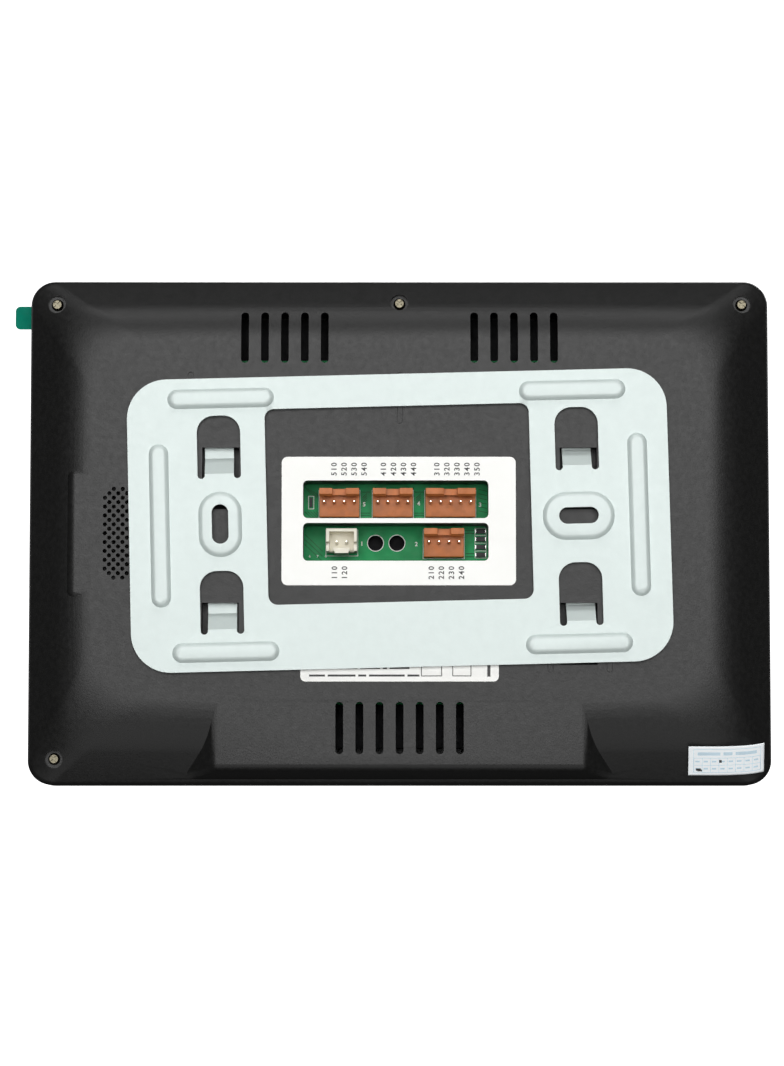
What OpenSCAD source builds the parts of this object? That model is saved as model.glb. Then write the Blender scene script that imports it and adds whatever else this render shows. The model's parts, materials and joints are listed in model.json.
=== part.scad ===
// Wall-mounted video intercom monitor, hung on a pressed-steel wall bracket.
//
// Frame: +Z up, +Y from the wall into the room, +X to the right as seen from the wall.
// The wall is the plane Y = 0, and the origin lies midway between the two wall-screw slots.

/* [Monitor body] */
// Width of the housing across its rim
body_w = 189; // [186:1:194]
// Height of the housing across its rim
body_h = 129; // [127:1:134]
// Height of the housing's centre above the wall screws
body_z = -2; // [-3:0.5:-1]
// Corner radius of the rim
rim_r = 6.2; // [5:0.1:8]
// Distance from the wall to the front edge of the front frame
frame_front_y = 25.6; // [25.6:0.1:27]
// Distance from the wall to the joint between rear cover and front frame
parting_y = 17.8; // [17.6:0.1:18]
// Wall thickness of both housing halves
wall = 2; // [1.8:0.1:2.2]

/* [Rear cover shape] */
// Distance from the wall to the cover's flat back
back_y = 2.8; // [2.7:0.05:3]
// Width of the sloped flank between the rim and the flat back
flank_w = 17; // [16:0.5:18]
// Angle of the flank's straight part from the flat back
flank_angle = 40; // [36:1:42]
// Radius that blends the flank into the flat back
flank_r = 16; // [14:1:17]
// Radius that blends the flank into the rim
rim_blend_r = 2.5; // [2:0.1:3]
// Growth of the corner radius for each millimetre of flank
corner_growth = 0.45; // [0.3:0.05:0.6]
// Width of the foot that carries the flat back down to the lower rim
foot_w = 93.8; // [90:0.5:100]
// Distance from the lower rim to the foot's end on the flat back
foot_end = 3.7; // [3:0.1:5]
// Left side of the speaker bump
bump_left = -84.3; // [-86:0.1:-82]
// Height of the speaker bump
bump_h = 33.4; // [32:0.1:35]
// Height of the speaker's axis above the wall screws
speaker_z = -3.2; // [-4:0.1:-2]
// Distance of the speaker's axis left of the wall screws' middle
speaker_x = -65.5; // [-66:0.1:-65]

/* [Cover openings] */
// Width of each terminal window
terminal_w = 46.9; // [46:0.1:48]
// Height of each terminal window
terminal_h = 9.6; // [9:0.1:10]
// Centre of the terminal windows along X
terminal_x = -0.95; // [-1.5:0.05:-0.5]
// Height of each terminal window's centre above or below the middle
terminal_rise = 5.4; // [5.3:0.05:5.8]
// Length of a vent slot
vent_l = 13.2; // [12:0.1:14]
// Width of a vent slot
vent_w = 2; // [1.6:0.1:2.4]
// Pitch of the vent slots
vent_pitch = 5.06; // [4.5:0.02:5.4]
// Diameter of a grille hole
grille_d = 1.1; // [0.8:0.05:1.2]
// Pitch between columns of grille holes
grille_pitch = 1.125; // [1.1:0.005:1.2]

/* [Wall bracket] */
// Width of the bracket plate
bracket_w = 136.6; // [134:0.2:140]
// Height of the bracket plate
bracket_h = 74.3; // [72:0.1:76]
// Corner radius of the bracket plate
bracket_r = 10; // [6:0.5:12]
// Sheet thickness of the bracket
sheet_t = 1.2; // [1:0.1:1.3]
// How far the embossed pads stand out towards the wall
emboss_h = 1.2; // [1:0.1:1.2]
// Turn of the bracket within the play of its hooks
bracket_turn = 1.4; // [-1.4:0.1:1.4]
// Distance of the hooks and wall slots from the bracket's middle
hook_x = 45.25; // [45:0.05:45.5]
// Height of the hook cutouts' centres above and below the middle
hook_z = 19.7; // [19.5:0.1:20]
// Width of a hook
hook_w = 7.3; // [7:0.1:7.6]
// Travel that frees the monitor from the hooks
lift = 8; // [7:0.5:8]

/* [Front] */
// Width of the display module
lcd_w = 165; // [160:1:165]
// Height of the display module
lcd_h = 100; // [98:1:102]
// Centre of the display module along X
lcd_x = 8.5; // [8:0.5:8.5]
// Width of the visible picture area
view_w = 154; // [150:0.5:156]
// Height of the visible picture area
view_h = 86; // [84:0.5:88]
// Centre of the key column along X
key_x = -84; // [-84.5:0.1:-83.5]
// Width of a key cap
key_w = 8.6; // [8:0.1:9]
// Height of a key cap
key_h = 10; // [9:0.1:10.5]
// Pitch of the keys
key_pitch = 16; // [15:0.5:16.5]
// Travel of a key
key_travel = 0.35; // [0.25:0.05:0.35]

/* [Main board] */
// Width of the main board
board_w = 118; // [116:1:120]
// Height of the main board
board_h = 88; // [86:1:90]
// Thickness of the main board
board_t = 1.6; // [1.2:0.1:1.6]
// Distance from the wall to the board's rear face
board_y = 12.6; // [12.4:0.1:12.8]
// Centre of the main board along X
board_x = 11; // [10:0.5:12]
// Pin pitch of the large headers
pin_pitch = 2.54; // [2.5:0.01:2.6]
// Pin pitch of the small header
small_pitch = 2.5; // [2.4:0.05:2.54]

/* [Hidden] */
$fn = 48;
eps = 0.02;

half_w = body_w / 2;
half_h = body_h / 2;
inner_y = back_y + wall;
rim_low_z = body_z - half_h;

// Rear cover flank, as its tangent turns from the flat back to the rim.
corner_steps = 11;
flank_steps = 9;
ball_fn = 20;
low_start = 3;
low_stretch = 0.33;
low_angle = atan(tan(flank_angle) / (1 + low_stretch));
flank_line = (flank_w - flank_r * sin(flank_angle) - rim_blend_r * (1 - sin(flank_angle)))
             / cos(flank_angle);
flank_end_y = back_y + flank_r * (1 - cos(flank_angle)) + flank_line * sin(flank_angle)
              + rim_blend_r * cos(flank_angle);

// Hook and pocket heights, measured in the bracket's and the cover's own frames. The catch edge
// lies half way along the lift, so the hooks hold by half of it and clear it by the other half.
hook_cut_w = 11;
hook_cut_h = 15.9;
hook_root = 0.8 - hook_cut_h / 2;
hook_slope = 4.6;
hook_reach = 10.2;
hook_y = back_y + wall + 0.4;
pocket_w = 9.4;
pocket_catch_z = hook_z + hook_root + hook_reach - lift / 2 - 0.15;
pocket_bottom_z = 2.9;
pocket_top_z = 25.2;
pocket_floor_y = back_y + 5.8;
pocket_wall = 1.3;

// Speaker: it lies on a gasket inside the cover, and three screws beside its rim hold it.
speaker_d = 27.6;
gasket_t = 0.8;
speaker_face_y = inner_y + gasket_t;
speaker_seat_y = speaker_face_y + 1.45;
speaker_screw_places = [for (a = [60 : 120 : 300])
                        [speaker_x + 14.9 * cos(a), speaker_z + 14.9 * sin(a)]];

// Screws that hold the rear cover.
cover_screw_x = half_w - 7;
cover_screw_z = half_h - 6.5;
cover_screw_seat_y = 10.4;
cover_well_end_y = 14;
screw_head_d = 3.1;
screw_shank_d = 1.9;
cover_screw_places = [[-cover_screw_x, cover_screw_z], [0, cover_screw_z + 0.3],
                      [cover_screw_x, cover_screw_z], [-cover_screw_x, -cover_screw_z],
                      [cover_screw_x, -cover_screw_z]];

// Layers behind the front.
plate_y = 22.3;
plate_t = 1.2;
window_t = 2;
window_y = frame_front_y + 0.2 - window_t;
window_w = body_w - 6;
window_h = body_h - 6;
window_r = rim_r - 2.2;
lcd_y = 17.4;
lcd_tray_t = 3.4;
lcd_glass_t = 1.2;
chassis_y = 16.5;
chassis_t = 0.8;
chassis_tab_x = 62;
key_board_y = 16.2;
key_board_t = 1.2;
key_front_y = frame_front_y + 0.9;
key_z = [for (i = [2 : -1 : -2]) body_z + i * key_pitch];
mic_z = body_z - 49.5;
light_z = body_z + 46.5;
key_screw_z = [body_z + 41.5, body_z - 41.5];
switch_size = 6;
switch_top_y = key_board_y + key_board_t + 3.5;
stem_d = 3.4;

// Headers: number of pins, X and Z of the pin row's middle.
upper_row_z = 5.2;
lower_row_z = -5;
pin_side = 0.64;
pin_tip_y = 5.4;
header_top_y = 5;
large_headers = [[4, 11.3, lower_row_z], [5, 13, upper_row_z], [4, -1.7, upper_row_z],
                 [4, -15.3, upper_row_z]];
small_header = [2, -14.7, lower_row_z];
board_screw_x = board_w / 2 - 4.5;
board_screw_z = board_h / 2 - 4.5;
board_screw_places = [for (sx = [-1, 1]) for (sz = [-1, 1])
                      [board_x + sx * board_screw_x, body_z + sz * board_screw_z]];

housing_grey = [0.19, 0.19, 0.2];
board_green = [0.06, 0.42, 0.2];
header_brown = [0.72, 0.4, 0.26];
steel_grey = [0.74, 0.77, 0.8];
screw_grey = [0.8, 0.8, 0.78];
chip_black = [0.07, 0.07, 0.08];
paper_white = [0.95, 0.95, 0.93];

// ---------------------------------------------------------------- helpers

// A flat outline in X and Z, made solid from y0 to y1.
module slab(y0, y1) {
    translate([0, y1, 0]) rotate([90, 0, 0]) linear_extrude(y1 - y0) children();
}

// An outline in Y and Z, made solid from x0 to x1.
module along_x(x0, x1) {
    translate([x0, 0, 0]) rotate([90, 0, 90]) linear_extrude(x1 - x0) children();
}

module block(x0, x1, y0, y1, z0, z1) {
    translate([x0, y0, z0]) cube([x1 - x0, y1 - y0, z1 - z0]);
}

// A round rod along Y.
module rod(x, z, y0, y1, d) {
    translate([x, y1, z]) rotate([90, 0, 0]) cylinder(h = y1 - y0, d = d);
}

module round_rect(w, h, r) {
    for (sx = [-1, 1]) for (sz = [-1, 1])
        translate([sx * (w / 2 - r), sz * (h / 2 - r)]) circle(r);
    square([w - 2 * r, h], center = true);
    square([w, h - 2 * r], center = true);
}

module plate(x, z, w, h, r, y0, y1) {
    translate([x, 0, z]) slab(y0, y1) round_rect(w, h, r);
}

// The lower flank is wider than the others: from low_start inwards it is stretched.
function low_shift(inset) = low_stretch * max(0, inset - low_start);

// A stack of rounded rectangles round the housing's centre, each [inset, y, corner radius].
function ring(inset, y, r) =
    [for (q = [0 : 3]) for (k = [0 : corner_steps])
        let (a = 90 * (q + k / corner_steps),
             sx = (q == 0 || q == 3) ? 1 : -1,
             sz = (q < 2) ? 1 : -1)
        [sx * (half_w - inset - r) + r * cos(a), y,
         body_z + sz * (half_h - inset - r) + (sz < 0 ? low_shift(inset) : 0) + r * sin(a)]];

module loft(rings) {
    n = 4 * (corner_steps + 1);
    last = len(rings) - 1;
    polyhedron(
        points = [for (q = rings) each ring(q[0], q[1], q[2])],
        faces = concat(
            [[for (j = [n - 1 : -1 : 0]) j]],
            [for (i = [0 : last - 1]) for (j = [0 : n - 1]) let (k = (j + 1) % n)
                each [[i * n + j, i * n + k, (i + 1) * n + k],
                      [i * n + j, (i + 1) * n + k, (i + 1) * n + j]]],
            [[for (j = [0 : n - 1]) last * n + j]]));
}

// One ring of the cover: the flank point with inset t and depth y, moved inwards by gap
// square to a surface whose tangent has turned by a.
function cover_ring(t, y, a, gap) =
    [t + gap * sin(a), y + gap * cos(a), rim_r + corner_growth * t - gap * sin(a)];

function cover_rings(gap) = concat(
    [for (i = [0 : flank_steps]) let (a = flank_angle * i / flank_steps)
        cover_ring(flank_w - flank_r * sin(a), back_y + flank_r * (1 - cos(a)), a, gap)],
    [for (i = [0 : 4]) let (a = flank_angle + (90 - flank_angle) * i / 4)
        cover_ring(rim_blend_r * (1 - sin(a)), flank_end_y - rim_blend_r * cos(a), a, gap)]);

// The cover's outer form, or its inner form when gap is the wall thickness.
module cover_form(gap) {
    loft(concat(cover_rings(gap),
                [[gap, parting_y + (gap > 0 ? 1 : 0), rim_r - gap]]));
    foot_form(gap);
    bump_form(gap);
}

module foot_form(gap) {
    ball = 2.5;
    drop = flank_end_y - back_y;
    end_z = rim_low_z + foot_end + 0.72 * ball;
    side_x = foot_w / 2 - 0.414 * ball;
    hull() for (s = [-1, 1]) {
        for (p = [[0, end_z], [drop, end_z - foot_end + 0.9]])
            translate([s * (side_x + p[0]), back_y + ball + p[0], p[1]])
                sphere(ball - gap, $fn = ball_fn);
        translate([s * side_x, back_y + ball, rim_low_z + 24]) sphere(ball - gap, $fn = ball_fn);
    }
}

module bump_form(gap) {
    edge = wall + 0.3;
    hull() for (sz = [-1, 1]) for (x = [bump_left + edge, -52]) {
        z = speaker_z + sz * (bump_h / 2 - edge);
        translate([x, back_y + edge, z]) sphere(edge - gap, $fn = ball_fn);
        translate([x, flank_end_y - 1, z]) sphere(edge - gap, $fn = ball_fn);
    }
}

// One tier of a pressed pad: w by h at its foot, corner radius r, tapering by draft over d.
module pad_tier(w, h, r, d, draft) {
    for (sx = [-1, 1]) for (sz = [-1, 1])
        translate([sx * (w / 2 - r), 0, sz * (h / 2 - r)])
            rotate([90, 0, 0]) cylinder(h = d, r1 = r, r2 = r - draft);
    if (h > 2 * r)
        translate([0, 0, r - h / 2]) linear_extrude(h - 2 * r)
            polygon([[-w / 2, 0], [w / 2, 0], [w / 2 - draft, -d], [draft - w / 2, -d]]);
    if (w > 2 * r)
        along_x(r - w / 2, w / 2 - r)
            polygon([[0, -h / 2], [0, h / 2], [-d, h / 2 - draft], [-d, draft - h / 2]]);
}

// A pressed pad stands out towards -Y from y, steep at its foot and rounding to a flat top.
module pressed_pad(x, z, w, h, r, y) {
    tiers = [[0, 0], [0.55, 0.4], [0.85, 0.75], [1, 1.25]];
    for (i = [0 : 2]) {
        a = tiers[i];
        b = tiers[i + 1];
        translate([x, y - a[0] * emboss_h, z])
            pad_tier(w - 2 * a[1], h - 2 * a[1], r - a[1], (b[0] - a[0]) * emboss_h, b[1] - a[1]);
    }
}

module pan_screw(x, z, seat_y, shank_end_y) {
    head_h = 1.5;
    difference() {
        union() {
            translate([x, seat_y, z]) rotate([90, 0, 0])
                cylinder(h = head_h, d1 = screw_head_d, d2 = screw_head_d - 1);
            rod(x, z, seat_y - eps, shank_end_y, screw_shank_d);
        }
        translate([x, seat_y - head_h, z]) rotate([0, 45, 0]) {
            cube([2, 1.2, 0.45], center = true);
            cube([0.45, 1.2, 2], center = true);
        }
    }
}

// The same screw, driven from the room side.
module front_screw(x, z, seat_y, shank_end_y) {
    translate([0, 2 * seat_y, 0]) mirror([0, 1, 0])
        pan_screw(x, z, seat_y, 2 * seat_y - shank_end_y);
}

// ---------------------------------------------------------------- wall bracket

pads = [for (sx = [-1, 1]) each
        [[sx * 44.5, 32, 27, 5, 2.5], [sx * 44.5, -32.3, 27, 5, 2.5],
         [sx * 60.5, 0, 5, 41.4, 2.5]]];
slot_pads = [[-hook_x, 0, 11, 16.6, 5.4], [hook_x, 0, 18.2, 12.2, 6]];
slot_w = 4.2;
slot_l = 10;

module bracket_holes() {
    plate(-0.07, 4.15, 66.9, 49.7, 2.4, -1, 4);
    plate(-hook_x, 0, slot_w, slot_l, slot_w / 2 - eps, -1, 4);
    plate(hook_x, 0, slot_l, slot_w, slot_w / 2 - eps, -1, 4);
    for (sx = [-1, 1]) for (sz = [-1, 1]) translate([sx * hook_x, 0, sz * hook_z])
        slab(-1, 4) hook_cutout();
}

module hook_cutout() {
    top_r = 4.3;
    slit = (hook_cut_w - hook_w) / 2;
    for (s = [-1, 1]) translate([s * (hook_cut_w / 2 - top_r), hook_cut_h / 2 - top_r])
        circle(top_r);
    translate([-hook_cut_w / 2 + top_r, 0]) square([hook_cut_w - 2 * top_r, hook_cut_h / 2]);
    translate([-hook_cut_w / 2, hook_root]) square([hook_cut_w, hook_cut_h / 2 - top_r - hook_root]);
    for (s = [-1, 1]) translate([s * (hook_cut_w - slit) / 2, hook_root]) circle(slit / 2);
}

module hook() {
    y = emboss_h;
    t = sheet_t;
    along_x(-hook_w / 2, hook_w / 2)
        polygon([[y, hook_root - 0.8], [y, hook_root + 0.3], [hook_y, hook_root + hook_slope],
                 [hook_y, hook_root + hook_reach - 0.6], [hook_y + 0.6, hook_root + hook_reach],
                 [hook_y + t, hook_root + hook_reach], [hook_y + t, hook_root + hook_slope - 0.6],
                 [y + t, hook_root - 0.3], [y + t, hook_root - 0.8]]);
}

module wall_bracket() {
    color(steel_grey) rotate([0, -bracket_turn, 0]) {
        difference() {
            union() {
                plate(0, 0, bracket_w, bracket_h, bracket_r, emboss_h, emboss_h + sheet_t);
                for (p = concat(pads, slot_pads))
                    pressed_pad(p[0], p[1], p[2], p[3], p[4], emboss_h);
            }
            for (p = concat(pads, slot_pads))
                pressed_pad(p[0], p[1], p[2] - 1, p[3] - 1, p[4] - 0.5, emboss_h + sheet_t + eps);
            bracket_holes();
        }
        for (sx = [-1, 1]) for (sz = [-1, 1]) translate([sx * hook_x, 0, sz * hook_z]) hook();
    }
}

// ---------------------------------------------------------------- rear cover

// A pocket that a hook reaches into: open below its catch edge, covered above it.
module hook_pocket(x, z, gap) {
    translate([x, 0, z]) {
        along_x(-pocket_w / 2 - gap, pocket_w / 2 + gap)
            polygon([[gap > 0 ? inner_y - 0.5 : back_y - 1, pocket_bottom_z - gap],
                     [gap > 0 ? inner_y - 0.5 : back_y - 1, pocket_catch_z],
                     [inner_y, pocket_catch_z], [inner_y, pocket_top_z + gap],
                     [pocket_floor_y + gap, pocket_top_z + gap],
                     [pocket_floor_y + gap, pocket_bottom_z + 6.7 - gap],
                     [back_y + gap, pocket_bottom_z - gap]]);
    }
}

pocket_places = [for (sx = [-1, 1]) for (z = [0, -2 * hook_z]) [sx * hook_x, z]];

// Grille holes in staggered columns, with the corners of the field left off.
module grille_holes() {
    cols = 8;
    rows = 10;
    for (i = [-cols : cols]) for (j = [-rows : rows])
        if ((i + j) % 2 == 0 && abs(i) + abs(j) < cols + rows - 1)
            translate([i * grille_pitch, j * grille_pitch]) circle(d = grille_d, $fn = 16);
}

module vents(count, x, z) {
    for (i = [0 : count - 1])
        plate(x + (i - (count - 1) / 2) * vent_pitch, z, vent_w, vent_l, vent_w / 2 - eps,
              back_y - 1, back_y + 7);
}

// A shallow groove that outlines a pill-shaped mark.
module mark_groove(x, z) {
    w = 1.7;
    l = 13.4;
    groove = 0.35;
    depth = 0.5;
    difference() {
        plate(x, z, w, l, w / 2 - eps, back_y - 1, back_y + depth);
        plate(x, z, w - 2 * groove, l - 2 * groove, w / 2 - groove - eps, back_y - 2, back_y + 1);
    }
}

module cover_cuts() {
    for (s = [-1, 1]) {
        plate(terminal_x, s * terminal_rise, terminal_w, terminal_h, 1.2, back_y - 1, inner_y + 1);
        vents(5, s * 29.1, body_z + 48.8);
    }
    vents(7, 0, body_z - 50.4);
    for (p = cover_screw_places) {
        rod(p[0], body_z + p[1], 0, cover_screw_seat_y, 4.6);
        rod(p[0], body_z + p[1], 0, parting_y, 2.3);
    }
    for (x = [-52.9, 0.1, 52.9]) mark_groove(x, 31.2);
    for (x = [-52.9, -38, 38, 52.9]) mark_groove(x, -31.9);
}

module rear_cover() {
    field_w = 20;
    field_h = 25;
    color(housing_grey) {
        difference() {
            union() {
                difference() {
                    cover_form(0);
                    difference() {
                        cover_form(wall);
                        for (p = cover_screw_places)
                            rod(p[0], body_z + p[1], 0, cover_well_end_y, 6.8);
                    }
                    plate(speaker_x, speaker_z, field_w - 1, field_h - 1, 2, 0, inner_y + 1);
                }
                for (p = pocket_places) hook_pocket(p[0], p[1], pocket_wall);
                difference() {
                    plate(terminal_x, 0, terminal_w + 2.4, 2 * terminal_rise + terminal_h + 2.4,
                          2.4, inner_y - 0.5, board_y - 0.4);
                    for (s = [-1, 1]) plate(terminal_x, s * terminal_rise, terminal_w, terminal_h,
                                            1.2, inner_y - 1, board_y);
                }
                difference() {
                    union() {
                        rod(speaker_x, speaker_z, inner_y - 0.5, inner_y + 1.8, 30.6);
                        for (p = speaker_screw_places)
                            rod(p[0], p[1], inner_y - 0.5, speaker_seat_y - eps, 4.2);
                    }
                    rod(speaker_x, speaker_z, inner_y - 1, speaker_seat_y + 1, 28);
                }
            }
            for (p = speaker_screw_places) rod(p[0], p[1], inner_y - 1, 30, screw_shank_d + 0.1);
            for (p = pocket_places) hook_pocket(p[0], p[1], 0);
            block(-foot_w, foot_w, parting_y, 30, rim_low_z - 1, rim_low_z + 6);
            cover_cuts();
        }
        translate([speaker_x, 0, speaker_z]) slab(back_y, inner_y) difference() {
            round_rect(field_w, field_h, 2.5);
            grille_holes();
        }
    }
}

module cover_screws() {
    color(screw_grey) for (p = cover_screw_places)
        pan_screw(p[0], body_z + p[1], cover_screw_seat_y, plate_y - 3);
}

// ---------------------------------------------------------------- labels and film

module terminal_label() {
    color(paper_white) translate([-0.2, 0, -0.1]) slab(back_y - 0.12, back_y - eps) difference() {
        round_rect(59.2, 32.6, 1.5);
        for (s = [-1, 1]) translate([terminal_x + 0.2, s * terminal_rise + 0.1])
            round_rect(terminal_w, terminal_h, 1.2);
    }
}

module rating_label() {
    color(paper_white) plate(0, -31.6, 50, 18.2, 1.3, back_y - 0.12, back_y - eps);
}

module seal_sticker() {
    color(paper_white) translate([83.6, 7.15, rim_low_z + 6.2]) rotate([low_angle, -2, 0])
        translate([-9.6, -0.15, -4.8]) cube([18.8, 0.15, 9.6]);
}

module screen_film() {
    color([0.8, 0.9, 0.95, 0.3]) difference() {
        plate(0, body_z, window_w - 1, window_h - 1, window_r - 0.5,
              window_y + window_t + 0.02, window_y + window_t + 0.1);
        for (z = key_z) plate(key_x, z, key_w + 1.4, key_h + 1.4, 2, 0, 40);
        rod(key_x, mic_z, 0, 40, 3);
    }
}

module film_pull_tab() {
    y = window_y + window_t + 0.12;
    color([0.1, 0.55, 0.5]) plate(-93.3, 55, 13, 6, 1.3, y, y + 0.15);
}

// ---------------------------------------------------------------- main board

module main_board() {
    color(board_green) difference() {
        plate(board_x, body_z, board_w, board_h, 1.5, board_y, board_y + board_t);
        for (x = [-6.1, -0.65]) rod(x, -4.9, 0, 30, 4);
        for (p = board_screw_places) rod(p[0], p[1], 0, 30, 2.8);
        for (h = large_headers) pin_row(h, pin_pitch) rod(0, 0, 0, 30, 1);
        pin_row(small_header, small_pitch) rod(0, 0, 0, 30, 1);
    }
}

module pin_row(h, pitch) {
    for (i = [0 : h[0] - 1])
        translate([h[1] + (i - (h[0] - 1) / 2) * pitch, 0, h[2]]) children();
}

module pin_space() {
    side = pin_side + 0.04;
    block(-side / 2, side / 2, 0, 30, -side / 2, side / 2);
}

// Header with a friction wall along its upper side.
module large_header(h) {
    w = h[0] * pin_pitch;
    wall_z = 1.9;
    color(header_brown) difference() {
        translate([h[1], 0, h[2]]) difference() {
            along_x(-w / 2, w / 2)
                polygon([[board_y, -3.7], [board_y - 3, -3.7], [board_y - 3.2, -3.4],
                         [board_y - 3.2, wall_z], [header_top_y + 2.4, wall_z],
                         [header_top_y + 1.6, wall_z - 0.6], [header_top_y, wall_z - 0.1],
                         [header_top_y, 3.3], [board_y, 3.3]]);
            block(-1.7, 1.7, header_top_y - 1, header_top_y + 2, 0, 5);
        }
        pin_row(h, pin_pitch) pin_space();
    }
}

module header_p1() {
    w = 7.8;
    z0 = -2.5;
    z1 = 3.3;
    color([0.93, 0.91, 0.85]) difference() {
        translate([small_header[1], 0, small_header[2]]) difference() {
            union() {
                block(-w / 2, w / 2, header_top_y + 0.6, board_y, z0, z1);
                block(-1.8, 1.8, header_top_y + 0.6, board_y, z0 - 0.5, z0 + 0.5);
            }
            block(0.8 - w / 2, w / 2 - 0.8, header_top_y, board_y - 2, z0 + 0.8, z1 - 0.8);
            for (s = [-1, 1]) {
                block(s * 2.6 - 0.5, s * 2.6 + 0.5, header_top_y, board_y - 3, z0 - 1, z0 + 1);
                block(s * w / 2 - 1, s * w / 2 + 1, header_top_y, board_y - 4, z0 + 1.6, z0 + 2.4);
            }
        }
        pin_row(small_header, small_pitch) pin_space();
    }
}

module pin() {
    half = pin_side / 2;
    block(-half, half, pin_tip_y + 0.6, board_y + board_t + 1.1, -half, half);
    translate([0, pin_tip_y + 0.6, 0]) rotate([90, 45, 0])
        cylinder(h = 0.6, r1 = half * sqrt(2), r2 = 0.2, $fn = 4);
}

module header_pins() {
    color(screw_grey) {
        for (h = large_headers) pin_row(h, pin_pitch) pin();
        pin_row(small_header, small_pitch) pin();
    }
}

// A flat package on the board's rear face.
module chip(x, z, w, h, t, tint = chip_black) {
    color(tint) block(x - w / 2, x + w / 2, board_y - t, board_y, z - h / 2, z + h / 2);
}

module protection_diodes() {
    for (i = [0 : 3]) chip(20.7, -1.9 - i * 2, 2.4, 1.2, 0.8);
}

module capacitors() {
    color([0.2, 0.25, 0.35]) for (x = [26, 35, 56]) rod(x, 32, board_y - 6.5, board_y, 6.3);
}

module crystal() {
    color(screw_grey) plate(0, -33, 10, 4, 1.9, board_y - 3, board_y);
}

// A flat cable between two faces: down, across and up again.
module ribbon(x0, x1, z, w, y0, y1, y_mid) {
    t = 0.3;
    color([0.85, 0.85, 0.82]) translate([0, 0, z - w / 2]) linear_extrude(w)
        polygon([[x0, y0], [x0 + t, y0], [x0 + t, y_mid - t], [x1, y_mid - t],
                 [x1, y1], [x1 + t, y1], [x1 + t, y_mid], [x0, y_mid]]);
}

module display_connector() {
    chip(board_x + board_w / 2 - 3.5, 20, 4, 24, 2, [0.9, 0.88, 0.8]);
}

module display_ribbon() {
    x = board_x + board_w / 2;
    t = 0.3;
    y = board_y - 1.2;
    color([0.8, 0.5, 0.15]) translate([0, 0, 10]) linear_extrude(20)
        polygon([[x - 1.5, y], [x + 3, y], [x + 3, chassis_y - t], [x + 1, chassis_y - t],
                 [x + 1, chassis_y - eps], [x + 3 + t, chassis_y - eps], [x + 3 + t, y - t],
                 [x - 1.5, y - t]]);
}

module key_connector() {
    chip(board_x - board_w / 2 + 3.5, 28, 4, 10, 2, [0.9, 0.88, 0.8]);
}

module key_ribbon() {
    x = board_x - board_w / 2 + 1.5;
    t = 0.3;
    y = board_y - 1.2;
    far = key_x + 4;
    color([0.88, 0.88, 0.85]) translate([0, 0, 24]) linear_extrude(8)
        polygon([[x, y], [far, y], [far, key_board_y - eps], [far - t, key_board_y - eps],
                 [far - t, y - t], [x, y - t]]);
}

module board_screws() {
    color(screw_grey) for (p = board_screw_places)
        pan_screw(p[0], p[1], board_y - eps, chassis_y - 0.3);
}

module board_standoffs() {
    color([0.8, 0.65, 0.3]) for (p = board_screw_places) difference() {
        rod(p[0], p[1], board_y + board_t + eps, chassis_y - eps, 5);
        rod(p[0], p[1], 0, 30, screw_shank_d + 0.1);
    }
}

module insulator_sheet() {
    y = chassis_y - 0.5;
    color(chip_black) difference() {
        plate(lcd_x, body_z, lcd_w - 2, lcd_h + 10, 1, y, y + 0.2);
        for (p = board_screw_places) rod(p[0], p[1], 0, 30, 6);
        for (p = chassis_screw_places) rod(p[0], p[1], 0, 30, 7);
        block(board_x + board_w / 2 + 2.4, board_x + board_w / 2 + 3.9, 0, 30, 9.4, 30.6);
    }
}

// ---------------------------------------------------------------- display and chassis

chassis_screw_places = [for (s = [-1, 1]) for (sz = [-1, 1])
                        [lcd_x + s * chassis_tab_x, body_z + sz * (lcd_h / 2 + 4)]];

module chassis_plate() {
    color([0.66, 0.68, 0.7]) difference() {
        union() {
            plate(lcd_x, body_z, lcd_w - 1, lcd_h - 1, 2, chassis_y, chassis_y + chassis_t);
            for (p = chassis_screw_places)
                plate(p[0], p[1], 8, 14, 3, chassis_y, chassis_y + chassis_t);
        }
        for (p = chassis_screw_places) rod(p[0], p[1], 0, 30, 2.4);
        for (p = board_screw_places) rod(p[0], p[1], 0, 30, 2.2);
        for (i = [-3 : 3]) plate(lcd_x + i * 18, body_z - 34, 8, 3, 1.4, 0, 30);
    }
}

module chassis_screws() {
    color(screw_grey) for (p = chassis_screw_places)
        pan_screw(p[0], p[1], chassis_y - eps, plate_y - 1.5);
}

module lcd_backlight() {
    rim = 1.2;
    color([0.8, 0.8, 0.8]) difference() {
        plate(lcd_x, body_z, lcd_w, lcd_h, 1, lcd_y, lcd_y + lcd_tray_t + lcd_glass_t);
        plate(lcd_x, body_z, lcd_w - 2 * rim, lcd_h - 2 * rim, 0.5, lcd_y + lcd_tray_t, 30);
    }
}

module lcd_panel() {
    y = lcd_y + lcd_tray_t + eps;
    color([0.03, 0.03, 0.05]) plate(lcd_x, body_z, lcd_w - 2.8, lcd_h - 2.8, 0.5, y, y + lcd_glass_t);
}

// ---------------------------------------------------------------- front

module frame_edge() {
    r = 1.5;
    loft(concat([[0, parting_y + 0.02, rim_r]],
                [for (i = [0 : 4]) let (a = 90 * i / 4)
                    [r * (1 - cos(a)), frame_front_y - r * (1 - sin(a)), rim_r - r * (1 - cos(a))]]));
}

module boss(x, z, y0, d) {
    difference() {
        rod(x, z, y0, plate_y + 0.2, d);
        rod(x, z, y0 - 1, plate_y - 1.2, screw_shank_d + 0.1);
    }
}

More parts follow.
